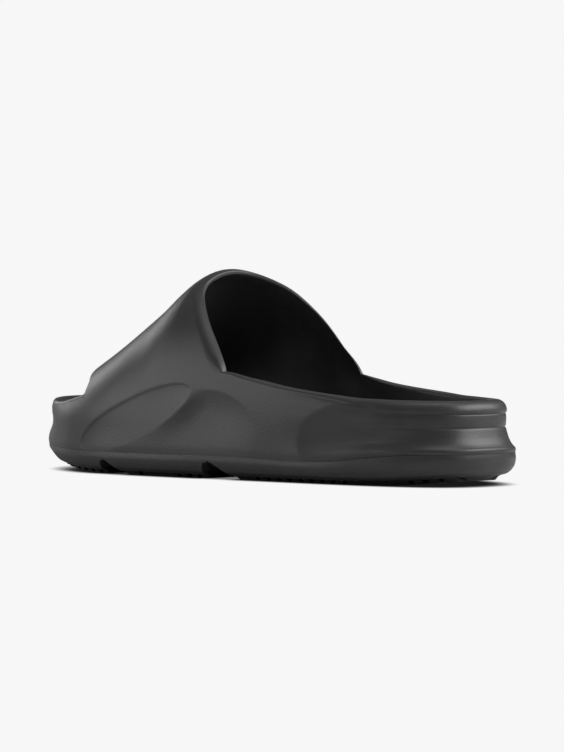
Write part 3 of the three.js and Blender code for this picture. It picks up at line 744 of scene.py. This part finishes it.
def foam_grain():
    """The skin that closed-cell foam takes from its mould: fine grain, soft mottling."""
    group = bpy.data.node_groups.new("foam_grain", "ShaderNodeTree")
    for name, value in (("Grain Size", 900.0), ("Mottle Size", 40.0), ("Dark", 0.0), ("Light", 0.0)):
        socket = group.interface.new_socket(name, in_out="INPUT", socket_type="NodeSocketFloat")
        socket.default_value = value
    group.interface.new_socket("Tone", in_out="OUTPUT", socket_type="NodeSocketColor")
    group.interface.new_socket("Height", in_out="OUTPUT", socket_type="NodeSocketFloat")
    group.interface.new_socket("Roughness", in_out="OUTPUT", socket_type="NodeSocketFloat")
    nodes = group.nodes
    links = group.links
    given = nodes.new("NodeGroupInput")
    result = nodes.new("NodeGroupOutput")
    place = nodes.new("ShaderNodeTexCoord")
    grain = nodes.new("ShaderNodeTexNoise")
    grain.inputs["Detail"].default_value = 2
    links.new(place.outputs["Object"], grain.inputs["Vector"])
    links.new(given.outputs["Grain Size"], grain.inputs["Scale"])
    mottle = nodes.new("ShaderNodeTexNoise")
    mottle.inputs["Detail"].default_value = 4
    links.new(place.outputs["Object"], mottle.inputs["Vector"])
    links.new(given.outputs["Mottle Size"], mottle.inputs["Scale"])
    tone = nodes.new("ShaderNodeMapRange")
    tone.inputs["From Min"].default_value = 0.3
    tone.inputs["From Max"].default_value = 0.7
    links.new(mottle.outputs["Fac"], tone.inputs["Value"])
    links.new(given.outputs["Dark"], tone.inputs["To Min"])
    links.new(given.outputs["Light"], tone.inputs["To Max"])
    colour = nodes.new("ShaderNodeCombineColor")
    warm = nodes.new("ShaderNodeMath")
    warm.operation = "MULTIPLY"
    warm.inputs[1].default_value = 1.03
    links.new(tone.outputs["Result"], warm.inputs[0])
    links.new(tone.outputs["Result"], colour.inputs["Red"])
    links.new(tone.outputs["Result"], colour.inputs["Green"])
    links.new(warm.outputs["Value"], colour.inputs["Blue"])
    rough = nodes.new("ShaderNodeMapRange")
    rough.inputs["To Min"].default_value = 0.36
    rough.inputs["To Max"].default_value = 0.46
    links.new(grain.outputs["Fac"], rough.inputs["Value"])
    links.new(colour.outputs["Color"], result.inputs["Tone"])
    links.new(grain.outputs["Fac"], result.inputs["Height"])
    links.new(rough.outputs["Result"], result.inputs["Roughness"])
    return group


foam_group = foam_grain()


GRAIN_DEPTH = 0.0002


def foam(name, dark, light, grain_size, relief, sheen):
    """Moulded foam of one piece, with its own tone and depth of grain."""
    material = bpy.data.materials.new(name)
    material.use_nodes = True
    nodes = material.node_tree.nodes
    links = material.node_tree.links
    shader = nodes["Principled BSDF"]
    grain = nodes.new("ShaderNodeGroup")
    grain.node_tree = foam_group
    grain.inputs["Dark"].default_value = dark
    grain.inputs["Light"].default_value = light
    grain.inputs["Grain Size"].default_value = grain_size
    bump = nodes.new("ShaderNodeBump")
    bump.inputs["Strength"].default_value = relief
    bump.inputs["Distance"].default_value = GRAIN_DEPTH
    links.new(grain.outputs["Height"], bump.inputs["Height"])
    links.new(bump.outputs["Normal"], shader.inputs["Normal"])
    links.new(grain.outputs["Tone"], shader.inputs["Base Color"])
    links.new(grain.outputs["Roughness"], shader.inputs["Roughness"])
    shader.inputs["Sheen Weight"].default_value = sheen
    shader.inputs["Sheen Roughness"].default_value = 0.5
    return material


def piece(name, mesh, material, node):
    """Puts a finished mesh on the shoe in place of its plain solid."""
    made = bpy.data.objects.new(name, mesh)
    mesh.materials.append(material)
    scene.collection.objects.link(made)
    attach(made, "root")
    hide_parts(node)


upper_foam = foam("charcoal_upper_foam", 0.040, 0.050, 900, 0.35, 0.08)
piece("slide_upper", build_upper(), upper_foam, "upper")


# The outsole: a firmer foam cup that carries the upper. Its side rolls under to a tread with fine
# chevron grooves, its lowest few mm painted near black as shade; two flex notches cross it, and
# heel and toe lift off the floor.
CLEARANCE = 0.3
SEAM = 0.08
HEEL_BEVEL = 50
HEEL_LIFT = 3.6
TOE_SPRING_START = 207
TOE_LIFT = 9.4
TREAD_DEPTH = 1.8
TREAD_PITCH = 6.5
TREAD_GAP = 2.4
# Painted shade: the sole's colour is scaled to near black in its lowest few mm above the tread.
TREAD_SHADE_HEIGHT = 3.4
TREAD_SHADE_BLEND = 0.5
TREAD_SHADE_TONE = 0.12
FOOTBED_THICK = 4
FOOTBED_CUP = 4
SOLE_ROWS = 40

# The edge of the outsole in mm in from the outline, by share of its height
side_tuck, heel_tuck, toe_tuck = curves(
    [
        (0.0, 7.2, 9.8, 11.5),
        (0.16, 6.4, 7.6, 10.0),
        (0.2, 3.6, 4.9, 8.0),
        (0.34, 1.6, 2.2, 5.0),
        (0.55, 0.4, 0.5, 2.0),
        (0.8, 0.0, 0.0, 0.4),
        (1.0, 0.1, 0.3, 0.3),
    ]
)


def lift(x):
    """How far the tread lifts off the floor along the shoe."""
    back = np.maximum(0, 1 - x / HEEL_BEVEL)
    front = np.maximum(0, (x - TOE_SPRING_START) / (LENGTH - TOE_SPRING_START))
    return HEEL_LIFT * back**1.6 + TOE_LIFT * front**2


def bed_top(x, share):
    return bed_at(x / LENGTH) + FOOTBED_CUP * share**4


def sole_body():
    """The outsole and its raised core, before the tread is cut."""

    def bottom(where):
        points = where.place(where.reach * 0.6, 0.0)
        points[..., 2] = lift(points[..., 0])
        return points

    def edge(where):
        up = np.linspace(0, 1, SOLE_ROWS + 1)[:, None]
        heel = heel_weight(where.x)
        toe = toe_weight(where.x)
        tuck = mix(mix(side_tuck(up), heel_tuck(up), heel), toe_tuck(up), toe)
        points = where.place(tuck, 0.0)
        points[..., 2] = mix(lift(points[..., 0]), joint_height(where.x) - SEAM, up)
        return points

    def core(where):
        z = joint_height(where.x) - SEAM
        rows = [where.place(inner_inset(where, z) + CLEARANCE, z)]
        for share in (1, 0.84, 0.5):
            z = bed_top(where.x, share) - FOOTBED_THICK - CLEARANCE
            rows.append(where.place(mix(where.reach, inner_inset(where, z) + CLEARANCE, share), z))
        return np.stack(rows)

    skin = Skin()
    bottom_ring = around(bottom)
    core_rows = around(core)
    edge_rows = around(edge)
    skin.cap(bottom_ring, 1)
    skin.grid(np.concatenate([bottom_ring[None], edge_rows, core_rows]), closed=True)
    skin.cap(core_rows[-1], 1)
    return skin.mesh("slide_sole", 40)


# Two flex notches: foot of the ramp, top of the ramp, front wall and height
NOTCHES = [(196, 206.5, 210.5, 7.5), (125, 138.5, 144.5, 8.7)]
GROOVED = [(7, 32), (62, 119), (150, 165), (188, 192), (216, 282)]


def prism(form, outline, way, depth):
    """Adds a closed straight prism to a form: the outline, pushed along one way."""
    low = [form.verts.new(Vector(point) * MM) for point in outline]
    high = [form.verts.new((Vector(point) + Vector(way) * depth) * MM) for point in outline]
    form.faces.new(low)
    form.faces.new(high[::-1])
    for k in range(len(outline)):
        after = (k + 1) % len(outline)
        form.faces.new([low[k], high[k], high[after], low[after]])


def tread_cutters():
    """What is taken out of the sole: the two notches and the chevron grooves, as one mesh."""
    form = bmesh.new()
    origin = Vector(shoe_origin)
    for foot, top, wall, high in NOTCHES:
        ramp = [
            (foot, -1),
            (foot, 0),
            (mix(foot, top, 0.55), high * 0.62),
            (top, high),
            (mix(top, wall, 0.6), high * 0.86),
            (wall, 0.4),
            (wall, -1),
        ]
        outline = [Vector((x, -BALL_WIDTH, z)) + origin for x, z in ramp]
        prism(form, outline, (0, 1, 0), 2 * BALL_WIDTH)
    chevron = [(-70, -4), (0, 5), (70, -4)]
    for start, end in GROOVED:
        for x in np.arange(start, end + 0.01, TREAD_PITCH):
            back = [(x + bend - TREAD_GAP / 2, y) for y, bend in chevron]
            front = [(x + bend + TREAD_GAP / 2, y) for y, bend in chevron[::-1]]
            outline = [Vector((a, b, -3)) + origin for a, b in back + front]
            prism(form, outline, (0, 0, 1), float(lift(x)) + TREAD_DEPTH + 3)
    bmesh.ops.recalc_face_normals(form, faces=form.faces)
    made = bpy.data.meshes.new("tread_cutters")
    form.to_mesh(made)
    form.free()
    return made


def cut(mesh, cutters):
    """The mesh with the cutters taken out of it."""
    body = bpy.data.objects.new("sole_blank", mesh)
    tool = bpy.data.objects.new("tread_tool", cutters)
    for each in (body, tool):
        scene.collection.objects.link(each)
    carve = body.modifiers.new("carve", "BOOLEAN")
    carve.operation = "DIFFERENCE"
    carve.solver = "EXACT"
    carve.use_self = True
    carve.object = tool
    bpy.context.view_layer.update()
    carved = body.evaluated_get(bpy.context.evaluated_depsgraph_get())
    made = bpy.data.meshes.new_from_object(carved)
    bpy.data.objects.remove(body)
    bpy.data.objects.remove(tool)
    made.shade_smooth()
    made.set_sharp_from_angle(angle=math.radians(40))
    return made


def mark_height_for_tread_shade(mesh):
    """Notes on each point how far it is above the tread, for the painted shade at the bottom."""
    points = np.empty(len(mesh.vertices) * 3)
    mesh.vertices.foreach_get("co", points)
    points = points.reshape(-1, 3) / MM - shoe_origin
    above = mesh.attributes.new("above_tread", "FLOAT", "POINT")
    above.data.foreach_set("value", points[:, 2] - lift(points[:, 0]))
    return mesh


def paint_tread_shade(material):
    """Paints shade on the layer next to the floor, turning it near black by the height noted on the
    mesh.
    """
    nodes = material.node_tree.nodes
    links = material.node_tree.links
    shader = nodes["Principled BSDF"]
    tone = shader.inputs["Base Color"].links[0].from_socket
    above = nodes.new("ShaderNodeAttribute")
    above.attribute_name = "above_tread"
    share = nodes.new("ShaderNodeMapRange")
    share.inputs["From Min"].default_value = TREAD_SHADE_HEIGHT - TREAD_SHADE_BLEND
    share.inputs["From Max"].default_value = TREAD_SHADE_HEIGHT + TREAD_SHADE_BLEND
    share.inputs["To Min"].default_value = TREAD_SHADE_TONE
    blend = nodes.new("ShaderNodeVectorMath")
    blend.operation = "SCALE"
    links.new(above.outputs["Fac"], share.inputs["Value"])
    links.new(tone, blend.inputs[0])
    links.new(share.outputs["Result"], blend.inputs["Scale"])
    links.new(blend.outputs["Vector"], shader.inputs["Base Color"])


sole_foam = foam("black_sole_foam", 0.036, 0.046, 700, 0.4, 0.08)
# The lowest few mm of the sole get painted shade, near black.
paint_tread_shade(sole_foam)
sole_mesh = mark_height_for_tread_shade(cut(sole_body(), tread_cutters()))
piece("slide_sole", sole_mesh, sole_foam, "sole")


# The footbed: a soft contoured sheet of foam that lies on the core of the sole inside the upper,
# cupped up a little against the wall all round, with a softened top edge.
def build_footbed():
    """The footbed as rings from the middle of its underside out, round its edge and back over."""

    def level(share, drop, trim):
        def at(where):
            z = bed_top(where.x, share) - drop
            inset = inner_inset(where, z) + CLEARANCE + trim
            return where.place(mix(where.reach, inset, share), z)

        return around(at)

    shares = np.array([0.4, 0.5, 0.62, 0.74, 0.84, 0.92, 0.97, 1.0])
    under = [level(share, FOOTBED_THICK, 0) for share in shares]
    over = [level(share, 0, 0) for share in shares[-2::-1]]
    skin = Skin()
    skin.cap(under[0], 1)
    edge = [level(1, 0.8, 0), level(1, 0.25, 0.25), level(1, 0, 0.9)]
    skin.grid(np.stack([*under, *edge, *over]), closed=True)
    skin.cap(over[-1], 1)
    return skin.mesh("slide_footbed", 40)


footbed_foam = foam("soft_footbed_foam", 0.034, 0.044, 500, 0.6, 0.1)
piece("slide_footbed", build_footbed(), footbed_foam, "insole")
